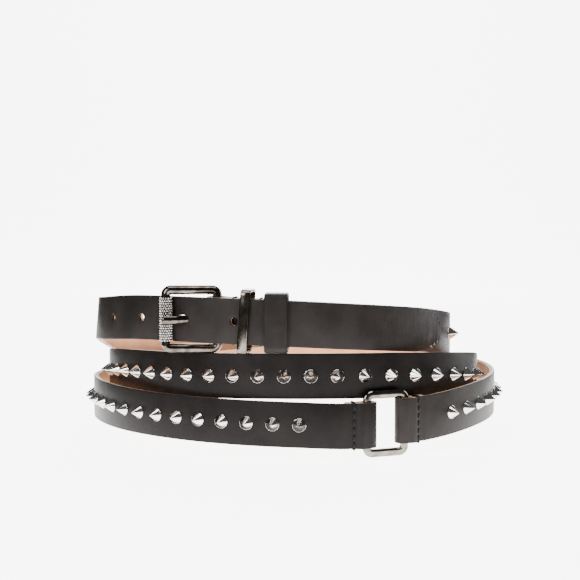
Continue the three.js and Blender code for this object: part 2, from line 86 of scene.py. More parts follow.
# %% Sizes of the leather, the metal and the studs
STRAP_WIDTH = 25 * MM
STRAP_THICKNESS = 3 * MM
LEATHER_THICKNESS = 1.6 * MM
LINING_INSET = 0.3 * MM
EDGE_ROUND = 0.4 * MM
LAY_CLEARANCE = 0.5 * MM
LAP_CLEARANCE = 1 * MM
FOLD_CLEARANCE = 0.45 * MM
FOLD_TAPER = 13 * MM
LEFT_SEAM_GAP = 8.9 * MM
RIGHT_SEAM_GAP = 6.8 * MM
LOOP_SWELL = 1.5 * MM
SEAM_PINCH = 0.5 * MM
SEAM_PINCH_LENGTH = 3 * MM
WAIST_RADIUS = 104 * MM
STUD_HEIGHT = 6 * MM
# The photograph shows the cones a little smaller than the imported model's.
SHOWN_STUD_DIAMETER = 7.7 * MM
SHOWN_STUD_HEIGHT = 5.5 * MM
LAP = STRAP_THICKNESS + STUD_HEIGHT + LAP_CLEARANCE
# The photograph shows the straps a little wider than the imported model's round 25 mm.
SHOWN_WIDTH = STRAP_WIDTH * 1.03
RING_WIDTH = 28 * MM
RING_HEIGHT = 38 * MM
RING_BAR = 4.7 * MM
RING_DEPTH = 3 * MM
RING_TURN = 745.3
RING_FOLD_LENGTH = 14 * MM
RING_SILL = (RING_HEIGHT - STRAP_WIDTH) / 2 / STRAP_WIDTH
FRAME_BAR = 4.8 * MM
HINGE_TURN = -21
BUCKLE_FOLD_LENGTH = 42 * MM
FULL_TURN = 360
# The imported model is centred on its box, and this is how far that moved it.
CENTRING = Vector((-2.152 * MM, 0.843 * MM, 0))
print("one lap lies", round(LAP / MM, 1), "mm inside the next")

# %% [markdown]
# ## The way of the strap
# The strap climbs and bulges as it goes round, so its way is a table: at a turn angle (0 at the
# front, 90 on the right, 180 at the back) it says how far out the leather's face lies, how many
# laps lie inside it, how high its lower edge is and how far it leans. A smooth curve runs through
# the rows. Reach is a share of the waist's radius and rise is a share of the strap's width.

# %% Rows of turn, reach, laps, rise and lean
BUCKLE_WAY = [
    (-22, 1.159, 0, 2.6, 0), (0, 1.159, 0, 2.552, 0), (15, 1.146, 0, 2.471, 0),
    (37, 1.087, 0, 2.3, 0), (56, 1.019, 0, 2.11, 0), (70, 0.988, 0, 1.97, 0),
    (90, 0.971, 0, 1.79, 0), (110, 0.966, 0, 1.55, 0), (130, 0.971, 0, 1.24, 0),
    (150, 0.981, 0, 0.9, 0), (180, 1.0, 0, 0.54, 0), (200, 1.019, 0, 0.42, 0),
    (225, 1.053, 0, 0.38, 0), (243, 1.075, 0, 0.52, 0), (270, 1.101, 0, 0.885, 0),
    (300, 1.082, 0, 1.15, 0), (330, 1.115, 0, 1.29, 0), (360, 1.168, 0, 1.369, 0),
    (390, 1.15, 0.3, 1.31, 0), (420, 1.118, 0.7, 1.1, 0), (450, 1.018, 1, 0.72, 0),
    (495, 1.004, 1, 0.24, 0), (540, 1.0, 1, 0.02, 0), (565, 1.024, 1, 0.005, 0),
    (590, 1.057, 1, 0.042, 0), (612, 1.085, 1, 0.18, 0), (630, 1.1, 1, 0.28, 0),
    (660, 1.101, 0.7, 0.31, 0), (690, 1.125, 0.4, 0.32, 0), (720, 1.212, 0, 0.303, 0),
    (735, 1.245, 0, RING_SILL, 0), (750, 1.267, 0, RING_SILL, 0),
]
TIP_WAY_START = [
    (740, 1.253, 0, RING_SILL, 0), (755, 1.271, 0, 0.33, 0), (780, 1.168, 1, 0.45, 0),
    (810, 1.043, 2, 0.47, 0), (860, 1.024, 2, 0.44, 0), (880, 1.02, 2, 0.48, 0),
    (900, 1.01, 2, 0.58, 0), (920, 1.024, 2, 0.84, 0), (945, 1.019, 2, 1.2, -1),
    (963, 1.096, 1, 1.54, -3), (990, 1.171, 0, 2.16, -5), (1015, 1.175, 0, 2.4, -3),
    (1035, 1.186, 0, 2.56, 0),
]
# The tip lies on the first stretch of the buckle strap, one thickness further out.
OVERLAP_ROWS = 6
TIP_STEP_OUT = (STRAP_THICKNESS + LAY_CLEARANCE) / WAIST_RADIUS
TIP_WAY = TIP_WAY_START + [
    (turn + 3 * FULL_TURN, reach + TIP_STEP_OUT, laps, rise, lean)
    for turn, reach, laps, rise, lean in BUCKLE_WAY[:OVERLAP_ROWS]
]
print("rows:", len(BUCKLE_WAY), "and", len(TIP_WAY))


# %% A smooth curve through the rows
def read_way(rows):
    """Gives a function from a turn to (radius, height of the middle, lean in radians)."""
    turns = [row[0] for row in rows]
    values = []
    for _, reach, laps, rise, lean in rows:
        radius = reach * WAIST_RADIUS + laps * LAP
        values.append((radius, (rise + 0.5) * STRAP_WIDTH, math.radians(lean)))
    last = len(rows) - 1

    def at(turn):
        after = 1
        while after < last and turns[after] <= turn:
            after += 1
        before = after - 1
        earlier = before - 1 if before > 0 else after
        later = after + 1 if after < last else before
        span = turns[after] - turns[before]
        pull_in = span / 2 / (turns[before] - turns[earlier])
        pull_out = span / 2 / (turns[later] - turns[after])
        p = (turn - turns[before]) / span
        weights = (
            -pull_in * p**3 + 2 * pull_in * p**2 - pull_in * p,
            (1 + pull_in) * p**3 - (1.5 + 2 * pull_in) * p**2 + (pull_in - 0.5) * p + 1,
            -(1 + pull_out) * p**3 + (1.5 + pull_out) * p**2 + 0.5 * p,
            pull_out * p**3 - pull_out * p**2,
        )
        places = (earlier, before, after, later)
        return [sum(w * values[i][k] for w, i in zip(weights, places)) for k in range(3)]

    return at


on_buckle_strap = read_way(BUCKLE_WAY)
on_tip_strap = read_way(TIP_WAY)
print("front radius in mm:", round(on_buckle_strap(FULL_TURN)[0] / MM, 1))


# %% Places and directions on the leather's face
def outward(turn):
    angle = math.radians(turn)
    return Vector((math.sin(angle), -math.cos(angle), 0))


def forward(turn):
    angle = math.radians(turn)
    return Vector((math.cos(angle), math.sin(angle), 0))


def face_at(way, turn):
    """The middle of the leather's face there, the way out of it, the way up it and its lean."""
    radius, height, lean = way(turn)
    slope = (way(turn + 1)[0] - way(turn - 1)[0]) / (2 * math.radians(1) * radius)
    out = (outward(turn) - slope * forward(turn)).normalized()
    place = CENTRING + outward(turn) * radius + Vector((0, 0, height))
    up = Vector((0, 0, math.cos(lean))) + out * math.sin(lean)
    level = out * math.cos(lean) - Vector((0, 0, math.sin(lean)))
    return place, level, up, lean


def length_between(way, start, end, steps=40):
    places = [face_at(way, start + (end - start) * i / steps)[0] for i in range(steps + 1)]
    return sum((b - a).length for a, b in zip(places, places[1:]))


def turn_after(way, start, length):
    """The turn that lies a given length along the strap from another one."""
    turn = start
    for _ in range(6):
        gone = length_between(way, start, turn)
        error = length - math.copysign(gone, turn - start or length)
        turn += math.degrees(error / way(turn)[0])
    return turn


print("one turn is", round(length_between(on_buckle_strap, 0, FULL_TURN, 400) / MM), "mm long")

# %% [markdown]
# ## Where the ring and the hinge bar hold the strap
# Each strap end is folded round a bar and laid back on its own inner side. The bars' places
# follow from the strap's way, and the ring's width sets the angle between its two folds.

# %% The ring's two side bars and the hinge bar
RING_FOLD_REACH = RING_DEPTH / 2 + FOLD_CLEARANCE + STRAP_THICKNESS
RING_BAR_SPACING = RING_WIDTH - RING_BAR


def under_face(way, turn, depth):
    place, out, _, _ = face_at(way, turn)
    return place - out * depth


ring_half_angle = math.degrees(RING_BAR_SPACING / 2 / WAIST_RADIUS)
for _ in range(12):
    ring_left = under_face(on_buckle_strap, RING_TURN - ring_half_angle, RING_FOLD_REACH)
    ring_right = under_face(on_tip_strap, RING_TURN + ring_half_angle, RING_FOLD_REACH)
    ring_left.z = ring_right.z = RING_HEIGHT / 2
    ring_half_angle *= RING_BAR_SPACING / (ring_left - ring_right).length
hinge_place = under_face(
    on_buckle_strap, HINGE_TURN, STRAP_THICKNESS + FOLD_CLEARANCE + FRAME_BAR / 2)
print("hinge bar at", [round(v / MM, 1) for v in hinge_place], "mm")


# %% The line of a whole strap, with its folds
FOLD_ARC_STEPS = 20
FOLD_STEP = 1.5 * MM
# Beside the ring the line has finer steps, for the swell of its loops.
FINE_TURNS = 9
FINE_STEP = 0.4
TIP_TURN = 1136


def fold_line(way, turn, travel_sign, bar_radius, bar_shift, length):
    """From the face at the turn, round the bar, and back to the strap's cut end."""
    outer_radius = bar_radius + FOLD_CLEARANCE + STRAP_THICKNESS
    start, out, _, lean = face_at(way, turn)
    travel = forward(turn) * travel_sign
    centre = start - out * outer_radius + travel * bar_shift
    line = []
    for i in range(FOLD_ARC_STEPS + 1):
        angle = math.pi * i / FOLD_ARC_STEPS
        side = out * math.cos(angle) + travel * math.sin(angle)
        line.append((centre + side * outer_radius, lean))
    laid_back = 2 * STRAP_THICKNESS + LAY_CLEARANCE
    back_steps = max(6, round(length / FOLD_STEP))
    for i in range(1, back_steps + 1):
        gone = length * i / back_steps
        ease = min(1, gone / FOLD_TAPER)
        depth = 2 * outer_radius
        depth += (laid_back - 2 * outer_radius) * ease * ease * (3 - 2 * ease)
        place, out, _, lean = face_at(way, turn_after(way, turn, -travel_sign * gone))
        line.append((place - out * depth, -lean))
    return line


def swell(from_fold, seam_gap):
    """How far the loop beside a fold stands out, and is pinched in at its seam."""
    if from_fold < seam_gap:
        return LOOP_SWELL * math.sin(math.pi * from_fold / seam_gap) ** 2
    near = max(0, 1 - (from_fold - seam_gap) / SEAM_PINCH_LENGTH)
    return -SEAM_PINCH * math.sin(math.pi * near) if near else 0


def run_line(way, start, end, fold_turn, seam_gap):
    """The strap's face from turn to turn, in steps that are finer beside its fold."""
    line = []
    turn = start
    while turn < end:
        beside_fold = abs(turn - fold_turn) < FINE_TURNS
        place, out, _, lean = face_at(way, turn)
        if beside_fold:
            place = place + out * swell(length_between(way, turn, fold_turn, 6), seam_gap)
        line.append((place, lean))
        turn += FINE_STEP if beside_fold else 1
    place, _, _, lean = face_at(way, end)
    line.append((place, lean))
    return line


def line_length(line):
    return sum((b[0] - a[0]).length for a, b in zip(line, line[1:]))


left_fold_turn = RING_TURN - ring_half_angle
right_fold_turn = RING_TURN + ring_half_angle
edge_shift = (RING_BAR - RING_DEPTH) / 2
buckle_fold = fold_line(
    on_buckle_strap, HINGE_TURN, -1, FRAME_BAR / 2, 0, BUCKLE_FOLD_LENGTH)[::-1]
buckle_run = run_line(
    on_buckle_strap, HINGE_TURN, left_fold_turn, left_fold_turn, LEFT_SEAM_GAP)
buckle_end = fold_line(
    on_buckle_strap, left_fold_turn, 1, RING_DEPTH / 2, edge_shift, RING_FOLD_LENGTH)
buckle_line = buckle_fold[:-1] + buckle_run + buckle_end[1:]
tip_fold = fold_line(
    on_tip_strap, right_fold_turn, -1, RING_DEPTH / 2, edge_shift, RING_FOLD_LENGTH)[::-1]
tip_run = run_line(
    on_tip_strap, right_fold_turn, TIP_TURN, right_fold_turn, RIGHT_SEAM_GAP)
tip_line = tip_fold[:-1] + tip_run
print("strap lengths in mm:", round(line_length(buckle_line) / MM),
      round(line_length(tip_line) / MM))

# %% [markdown]
# ## Working by hand in code
# An operator acts on what is selected, so each step first clears the selection, then picks faces
# or edges by their place, and then calls the operator, as a hand would in the viewport.


# %% Helpers for selecting, applying and placing
def clear_selection():
    if bpy.context.mode != "OBJECT":
        bpy.ops.object.mode_set(mode="OBJECT")
    bpy.ops.object.select_all(action="DESELECT")


def make_active(piece):
    clear_selection()
    piece.select_set(True)
    bpy.context.view_layer.objects.active = piece


def named_piece(name):
    piece = bpy.context.active_object
    piece.name = name
    piece.data.name = name
    return piece


def made(add_primitive, name, scale=(1, 1, 1), **settings):
    """A new primitive, with its place, turn and scale applied to its mesh."""
    clear_selection()
    add_primitive(**settings)
    piece = named_piece(name)
    piece.scale = scale
    bpy.ops.object.transform_apply(location=True, rotation=True, scale=True)
    return piece


def edit(piece, mode="VERT", selection="DESELECT"):
    make_active(piece)
    bpy.ops.object.mode_set(mode="EDIT")
    bpy.ops.mesh.select_mode(type=mode)
    bpy.ops.mesh.select_all(action=selection)


def done():
    bpy.ops.object.mode_set(mode="OBJECT")


def pick(piece, kind, wanted):
    """Selects the verts, edges or faces for which wanted says yes, and only those."""
    bpy.ops.mesh.select_all(action="DESELECT")
    mesh = bmesh.from_edit_mesh(piece.data)
    for item in getattr(mesh, kind):
        if wanted(item):
            item.select_set(True)
    mesh.select_flush_mode()
    bmesh.update_edit_mesh(piece.data)


def apply_modifier(piece, kind, **settings):
    modifier = piece.modifiers.new(kind.lower(), kind)
    for key, value in settings.items():
        setattr(modifier, key, value)
    make_active(piece)
    bpy.ops.object.modifier_apply(modifier=modifier.name)


def round_edges(piece, width, segments, sharper_than=30):
    apply_modifier(piece, "BEVEL", width=width, segments=segments, limit_method="ANGLE",
                   angle_limit=math.radians(sharper_than))


def smooth(piece, degrees):
    make_active(piece)
    bpy.ops.object.shade_smooth_by_angle(angle=math.radians(degrees))


def copied(master, name, matrix):
    """A copy with a mesh of its own, already carried to its place."""
    copy = master.copy()
    copy.data = master.data.copy()
    copy.name = name
    copy.data.name = name
    bpy.context.collection.objects.link(copy)
    copy.data.transform(matrix)
    return copy


def joined(pieces, name):
    clear_selection()
    for piece in pieces:
        piece.select_set(True)
    bpy.context.view_layer.objects.active = pieces[0]
    bpy.ops.object.join()
    return named_piece(name)


def scrap(*pieces):
    for piece in pieces:
        bpy.data.objects.remove(piece, do_unlink=True)


def matrix_from(x_axis, y_axis, z_axis, place):
    matrix = Matrix((x_axis, y_axis, z_axis)).transposed().to_4x4()
    matrix.translation = place
    return matrix


print("helpers are ready")

# %% [markdown]
# ## Shader maths as Python
# A Value wraps a socket. Adding or multiplying two of them adds the Math node that does it, so a
# mask reads like a formula. One method adds any other node.


# %% Values and shaders
class Value:
    """A socket whose operators add Math nodes."""

    def __init__(self, shader, socket):
        self.shader = shader
        self.socket = socket

    def math(self, operation, *others):
        inputs = {i: value for i, value in enumerate((self, *others))}
        return self.shader.add("ShaderNodeMath", {"operation": operation}, inputs)

    def __add__(self, other):
        return self.math("ADD", other)

    __radd__ = __add__

    def __mul__(self, other):
        return self.math("MULTIPLY", other)

    __rmul__ = __mul__

    def __sub__(self, other):
        return self.math("SUBTRACT", other)

    def __rsub__(self, other):
        return self.shader.add("ShaderNodeMath", {"operation": "SUBTRACT"}, {0: other, 1: self})

    def __abs__(self):
        return self.math("ABSOLUTE")

    def ramp(self, low, high):
        """0 below low, 1 above high and smooth between; low may be the larger of the two."""
        settings = {"interpolation_type": "SMOOTHSTEP"}
        if low > high:
            return 1 - self.ramp(high, low)
        return self.shader.add("ShaderNodeMapRange", settings, {
            "Value": self, "From Min": low, "From Max": high})


class Shader:
    """A material, its surface shader and the one method that adds nodes to it."""

    def __init__(self, name, **constants):
        self.material = bpy.data.materials.new(name)
        self.material.use_nodes = True
        self.tree = self.material.node_tree
        self.surface = self.tree.nodes["Principled BSDF"]
        for socket, value in constants.items():
            self.surface.inputs[socket.replace("_", " ")].default_value = value

    def add(self, kind, settings, inputs, output=0):
        node = self.tree.nodes.new(kind)
        for key, value in settings.items():
            setattr(node, key, value)
        for key, value in inputs.items():
            self.join(value, node.inputs[key])
        return Value(self, node.outputs[output])

    def join(self, value, socket):
        if isinstance(value, Value):
            self.tree.links.new(value.socket, socket)
        else:
            socket.default_value = value

    def coordinates(self, attribute=None):
        if attribute:
            settings = {"attribute_type": "GEOMETRY", "attribute_name": attribute}
            return self.add("ShaderNodeAttribute", settings, {}, "Vector")
        return self.add("ShaderNodeTexCoord", {}, {}, "Object")

    def part(self, vector, axis):
        return self.add("ShaderNodeSeparateXYZ", {}, {0: vector}, axis)

    def stretched(self, vector, scale):
        settings = {"operation": "MULTIPLY"}
        return self.add("ShaderNodeVectorMath", settings, {0: vector, 1: scale})

    def noise(self, vector, scale, detail=2.0, roughness=0.5):
        return self.add("ShaderNodeTexNoise", {}, {
            "Vector": vector, "Scale": scale, "Detail": detail, "Roughness": roughness})

    def cells(self, vector, scale):
        settings = {"feature": "DISTANCE_TO_EDGE"}
        return self.add("ShaderNodeTexVoronoi", settings, {"Vector": vector, "Scale": scale})

    def mix(self, mask, first, second):
        settings = {"data_type": "RGBA"}
        return self.add("ShaderNodeMix", settings, {0: mask, 6: first, 7: second}, 2)

    def bump(self, height, distance, strength=1.0):
        return self.add("ShaderNodeBump", {}, {
            "Height": height, "Distance": distance, "Strength": strength})

    def set(self, **links):
        for socket, value in links.items():
            self.join(value, self.surface.inputs[socket.replace("_", " ")])


def paint(piece, shader, slot, *nodes):
    """Gives a finished piece its material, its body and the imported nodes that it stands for."""
    piece.data.materials.clear()
    piece.data.materials.append(shader.material)
    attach(piece, "root")
    if nodes:
        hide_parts(*nodes)
    return piece


print("shader tools are ready")

# %% [markdown]
# ## Black strap leather
# The face is smooth satin calf with a fine grain. Where the tip is pulled through the buckle it
# has fine upright creases, and each belt hole has a faint pressed ring. The cut edges are sealed
# with a glossy paint, and their colour is lightened as a painted highlight. The pattern follows
# the strap, so it reads the straight strap's own lengths, which are stored before the strap is
# bent.

# %% Black strap leather
LEATHER_DARK = (0.0042, 0.0033, 0.0031, 1)
LEATHER_LIGHT = (0.0085, 0.0070, 0.0065, 1)
# The tip and the keeper are rubbed greyer by the buckle.
WORN_DARK = (0.0105, 0.0088, 0.0080, 1)
WORN_LIGHT = (0.0180, 0.0152, 0.0140, 1)
LEATHER_SHEEN = 0.07
LEATHER_GLOSS = 0.34
GRAIN_DEPTH = 0.05 * MM
# Cut edges: dark glossy paint, given a lighter colour as a painted highlight along them.
EDGE_PAINT_AND_HIGHLIGHT = (0.15, 0.13, 0.105, 1)


def grain_of(shader, place):
    """The leather's pebbled grain, and its fine pores."""
    return shader.cells(place, 1900).ramp(0.0, 0.22), shader.noise(place, 4200, 3)


def strap_leather(name, dark, light, holes=(), creased_from=None, seams=()):
    shader = Shader(name, Specular_IOR_Level=LEATHER_SHEEN)
    lay = shader.coordinates("lay")
    along = shader.part(lay, "X")
    height = shader.part(lay, "Z")
    patches = shader.noise(lay, 45, 3).ramp(0.3, 0.7)
    grain, pores = grain_of(shader, lay)
    streaks = shader.noise(shader.stretched(lay, (1, 1, 0.12)), 1000, 4, 0.6).ramp(0.3, 0.7)
    crease_share = 0.3
    if creased_from is not None:
        crease_share = along.ramp(creased_from, creased_from + 25 * MM) * 1.2 + 0.3
    edge = shader.part(lay, "Y").ramp(0.2 * MM, 0.45 * MM)
    relief = grain * 0.35 + pores * 0.25 + streaks * crease_share
    pressed = [abs(along - seam).ramp(1.3 * MM, 0.4 * MM) for seam in seams]
    for hole in holes:
        across = (along - hole) * (along - hole) + height * height
        ring = across.math("SQRT")
        pressed.append(ring.ramp(3.9 * MM, 3.1 * MM) * ring.ramp(1.9 * MM, 2.9 * MM))
        edge = edge * ring.ramp(2.9 * MM, 3.5 * MM)
    colour = shader.mix(patches, dark, light)
    # The cut edges take the lighter colour, a painted highlight along them.
    colour = shader.mix(edge * 0.9, colour, EDGE_PAINT_AND_HIGHLIGHT)
    shine = patches * 0.06 + streaks * crease_share * 0.12 + LEATHER_GLOSS
    shine = shine * (1 - edge) + edge * 0.28
    for mark in pressed:
        relief = relief - mark * 2.2
        shine = shine - mark * 0.05
    shader.set(Base_Color=colour, Roughness=shine, Normal=shader.bump(relief, GRAIN_DEPTH, 0.9))
    return shader


print("leather colours:", LEATHER_DARK[:3], "to", LEATHER_LIGHT[:3])

# %% [markdown]
# ## Tan lining
# The inside is plain tan leather, matt and slightly fibrous, a little darker in patches where it
# has been handled.

# %% Tan lining
TAN_LIGHT = (0.60, 0.30, 0.155, 1)
TAN_DARK = (0.45, 0.21, 0.10, 1)
RAW_EDGE = (0.80, 0.60, 0.42, 1)


def lining_leather(name):
    shader = Shader(name, Specular_IOR_Level=0.3)
    lay = shader.coordinates("lay")
    patches = shader.noise(lay, 60, 4).ramp(0.3, 0.72)
    fibres = shader.noise(shader.stretched(lay, (0.3, 1, 1)), 2600, 4, 0.65)
    depth = shader.part(lay, "Y")
    edge = depth.ramp(LEATHER_THICKNESS, LEATHER_THICKNESS + 0.2 * MM) * depth.ramp(
        STRAP_THICKNESS - 0.05 * MM, STRAP_THICKNESS - 0.3 * MM)
    colour = shader.mix(patches * 0.7 + fibres * 0.3, TAN_DARK, TAN_LIGHT)
    colour = shader.mix(edge * 0.7, colour, RAW_EDGE)
    shader.set(
        Base_Color=colour,
        Roughness=fibres * 0.2 + 0.55,
        Normal=shader.bump(fibres, 0.05 * MM, 0.8))
    return shader


print("lining colours:", TAN_DARK[:3], "to", TAN_LIGHT[:3])

# %% [markdown]
# ## The straps
# A strap could be swept along its whole way at once, but a leather worker cuts it flat, so it is
# modelled flat: a long bar is cut into short rows, its edges are rounded, its point and holes are
# cut, and only then is it bent along its line by a Curve modifier.


# %% A flat strap, cut in rows
ROW_STEP = 2.2 * MM


def flat_strap(name, length, from_depth, to_depth, width):
    """A bar along +X from 0. Y goes from the leather's face inwards and Z up the width."""
    piece = made(
        bpy.ops.mesh.primitive_cube_add, name, (length, to_depth - from_depth, width), size=1,
        location=(length / 2, (from_depth + to_depth) / 2, 0))
    round_edges(piece, EDGE_ROUND, 3)
    rows = math.ceil(math.sqrt(length / ROW_STEP))
    for _ in range(2):
        edit(piece, "EDGE")
        pick(piece, "edges", lambda edge: edge.calc_length() > ROW_STEP * 0.9 and abs(
            edge.verts[0].co.x - edge.verts[1].co.x) > ROW_STEP * 0.9)
        bpy.ops.mesh.subdivide(number_cuts=rows - 1)
        done()
    return piece


def scale_columns(piece, start, end, share_at):
    """Makes each column of a straight piece wider or narrower, by its place along X."""
    columns = {round(v.co.x, 6) for v in piece.data.vertices if start < v.co.x <= end + 1e-6}
    edit(piece)
    for column in sorted(columns):
        pick(piece, "verts", lambda vert: abs(vert.co.x - column) < 2e-6)
        bpy.ops.transform.resize(value=(1, 1, share_at(column)), center_override=(column, 0, 0))
    done()


def store_lay(piece):
    """Keeps each point's place on the straight strap, for the patterns that follow it."""
    lay = piece.data.attributes.new("lay", "FLOAT_VECTOR", "POINT")
    for i, vertex in enumerate(piece.data.vertices):
        lay.data[i].vector = vertex.co


def bend_along(piece, line):
    guide_data = bpy.data.curves.new("guide", "CURVE")
    guide_data.dimensions = "3D"
    guide_data.twist_mode = "Z_UP"
    guide_data.use_path = True
    guide_data.use_stretch = False
    guide_data.use_radius = False
    spline = guide_data.splines.new("POLY")
    spline.points.add(len(line) - 1)
    for point, (place, lean) in zip(spline.points, line):
        point.co = (*place, 1)
        point.tilt = lean
    guide = bpy.data.objects.new("guide", guide_data)
    bpy.context.collection.objects.link(guide)
    bpy.context.view_layer.update()
    apply_modifier(piece, "CURVE", object=guide, deform_axis="POS_X")
    scrap(guide)


def cut(piece, cutter):
    apply_modifier(piece, "BOOLEAN", operation="DIFFERENCE", solver="EXACT", object=cutter)
    scrap(cutter)


def made_layer(name, line, shape, from_depth, to_depth, width):
    """A layer of a strap: a straight bar that is shaped, then bent along its line."""
    layer = flat_strap(name, line_length(line), from_depth, to_depth, width)
    shape(layer)
    store_lay(layer)
    bend_along(layer, line)
    smooth(layer, 35)
    return layer


def made_strap(label, line, shape):
    """The leather of a strap and its lining."""
    leather = made_layer(f"{label}_leather", line, shape, 0, LEATHER_THICKNESS, SHOWN_WIDTH)
    lining = made_layer(f"{label}_lining", line, shape, LEATHER_THICKNESS, STRAP_THICKNESS,
                        SHOWN_WIDTH - 2 * LINING_INSET)
    return leather, lining


print("straps are cut in rows of", round(ROW_STEP / MM, 1), "mm")

# %% [markdown]
# ## The point, the belt holes and the prong's slot
# The tip strap ends in a curved point. Its holes are punched through both layers with a slightly
# flared mouth, and the one that holds the prong is drawn long. The buckle strap has a round-ended
# slot in its fold, so that the prong can swing on the hinge bar.

# %% Taper of the point, and where the holes are
TIP_LENGTH = 32 * MM
TIP_TAPER = [(0, 0.16), (0.03, 0.30), (0.10, 0.44), (0.30, 0.66), (0.60, 0.88), (1, 1)]
HOLE_DIAMETER = 4.5 * MM
HOLE_PITCH = 32 * MM
PRONG_HOLE_TURN = 1050.6
PRONG_HOLE_STRETCH = 0.6
PRONG_HOLE_WIDENING = 1.12
HOLES_BEFORE = 2
HOLES_AFTER = 1
PUNCH_LENGTH = 12 * MM
PUNCH_MOUTH = 0.75 * MM
PUNCH_FLARE = 1.3
CREASES_AFTER_PRONG = 55 * MM
SEAM_BEHIND_RING = 9 * MM
tip_strap_length = line_length(tip_line)
prong_hole = tip_strap_length - length_between(on_tip_strap, PRONG_HOLE_TURN, TIP_TURN, 200)
hole_places = [prong_hole + i * HOLE_PITCH for i in range(-HOLES_BEFORE, HOLES_AFTER + 1)]
print("holes along the tip strap in mm:", [round(v / MM) for v in hole_places])


def taper_share(from_point):
    """How wide the strap still is at this share of the tip's length from its point."""
    for (a0, w0), (a1, w1) in zip(TIP_TAPER, TIP_TAPER[1:]):
        if from_point <= a1:
            share = (from_point - a0) / (a1 - a0)
            return w0 + (w1 - w0) * share
    return 1


def hole_punch(place, diameter, stretch):
    """A punch with a flared head, standing across the strap at a place along it."""
    punch = made(
        bpy.ops.mesh.primitive_cylinder_add, "punch", vertices=28, radius=diameter / 2,
        depth=PUNCH_LENGTH)
    edit(punch, "FACE")
    pick(punch, "faces", lambda face: face.normal.z > 0.9)
    bpy.ops.transform.translate(value=(0, 0, -PUNCH_LENGTH / 2 - 0.3 * MM))
    bpy.ops.mesh.extrude_region_move(TRANSFORM_OT_translate={"value": (0, 0, PUNCH_MOUTH)})
    bpy.ops.transform.resize(value=(PUNCH_FLARE, PUNCH_FLARE, 1))
    done()
    punch.rotation_euler = (math.pi / 2, 0, 0)
    punch.location = (place, 0, 0)
    punch.scale = (1 + stretch, 1, 1)
    make_active(punch)
    bpy.ops.object.transform_apply(location=True, rotation=True, scale=True)
    return punch


# %% The tip strap, leather and lining
def shape_tip_strap(layer):
    """Narrows the point and punches the holes."""
    scale_columns(layer, tip_strap_length - TIP_LENGTH, tip_strap_length, lambda x: taper_share(
        max(0, (tip_strap_length - x) / TIP_LENGTH)))
    for place in hole_places:
        stretch, widening = 0, 1
        if place == prong_hole:
            stretch, widening = PRONG_HOLE_STRETCH, PRONG_HOLE_WIDENING
        cut(layer, hole_punch(place, HOLE_DIAMETER * widening, stretch))


seam_from_fold = RING_FOLD_LENGTH + math.pi * RING_FOLD_REACH + SEAM_BEHIND_RING
tip_leather, tip_lining = made_strap("tip", tip_line, shape_tip_strap)
tip_leather_shader = strap_leather(
    "tip_strap_calf", WORN_DARK, WORN_LIGHT, hole_places, prong_hole + CREASES_AFTER_PRONG,
    [seam_from_fold])
paint(tip_leather, tip_leather_shader, "black_leather", "tip_strap_leather")
paint(tip_lining, lining_leather("tip_lining_calf"), "tan_lining", "tip_strap_lining")
print("tip strap:", len(tip_leather.data.polygons), "faces")

# %% The buckle strap, leather and lining
PRONG_DIAMETER = 3.2 * MM
SLOT_WIDTH = PRONG_DIAMETER + 1.4 * MM
SLOT_LENGTH = 25 * MM
buckle_strap_length = line_length(buckle_line)
hinge_fold_middle = line_length(buckle_fold) - math.pi * (
    FRAME_BAR / 2 + FOLD_CLEARANCE + STRAP_THICKNESS) / 2


def shape_buckle_strap(layer):
    """Cuts the round-ended slot at the middle of the fold."""
    cutter = made(
        bpy.ops.mesh.primitive_cube_add, "slot_cutter", (SLOT_LENGTH, 20 * MM, SLOT_WIDTH),
        size=1, location=(hinge_fold_middle, 0, 0))
    edit(cutter, "EDGE")
    pick(cutter, "edges", lambda edge: abs(edge.verts[0].co.y - edge.verts[1].co.y) > 1 * MM)
    bpy.ops.mesh.bevel(offset=SLOT_WIDTH * 0.49, segments=6)
    done()
    cut(layer, cutter)


buckle_leather, buckle_lining = made_strap("buckle", buckle_line, shape_buckle_strap)
buckle_leather_shader = strap_leather(
    "buckle_strap_calf", LEATHER_DARK, LEATHER_LIGHT,
    seams=[buckle_strap_length - seam_from_fold])
paint(buckle_leather, buckle_leather_shader, "black_leather", "buckle_strap_leather")
paint(buckle_lining, lining_leather("buckle_lining_calf"), "tan_lining",
      "buckle_strap_lining")
print("buckle strap:", len(buckle_leather.data.polygons), "faces")

# %% [markdown]
# ## Cone studs
# Each stud is a polished cone on a thin rim, riveted through the strap. One is modelled from a
# flat disc whose top is inset, drawn up and narrowed, and the rest are copies set out evenly
# between marks along the straps.

# %% Polished stud metal
STUD_COLOUR = (0.62, 0.60, 0.58, 1)
STUD_DARK = (0.48, 0.46, 0.44, 1)
stud_metal = Shader("polished_stud_metal", Metallic=1)
stud_place = stud_metal.coordinates()
stud_marks = stud_metal.noise(stud_place, 900, 3)
stud_metal.set(
    Base_Color=stud_metal.mix(stud_marks.ramp(0.35, 0.75), STUD_COLOUR, STUD_DARK),
    Roughness=stud_marks * 0.08 + 0.08,
    Normal=stud_metal.bump(stud_marks, 0.004 * MM, 0.3))
print("stud metal:", STUD_DARK[:3], "to", STUD_COLOUR[:3])


# %% One stud, then all of them
STUD_RIM = 0.3 * MM
STUD_LIP = 0.08 * MM
STUD_POINT = 0.1 * MM
# A row has the turns of its marks, and the number of equal spaces from each to the next.
BUCKLE_STUD_MARKS = [73, 372.6, 411, 722.3]
BUCKLE_STUD_SPACES = [38, 5, 43]
TIP_STUD_MARKS = [765, 915]
TIP_STUD_SPACES = [22]
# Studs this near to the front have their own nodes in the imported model.
SHOWN_HALF = 87.5


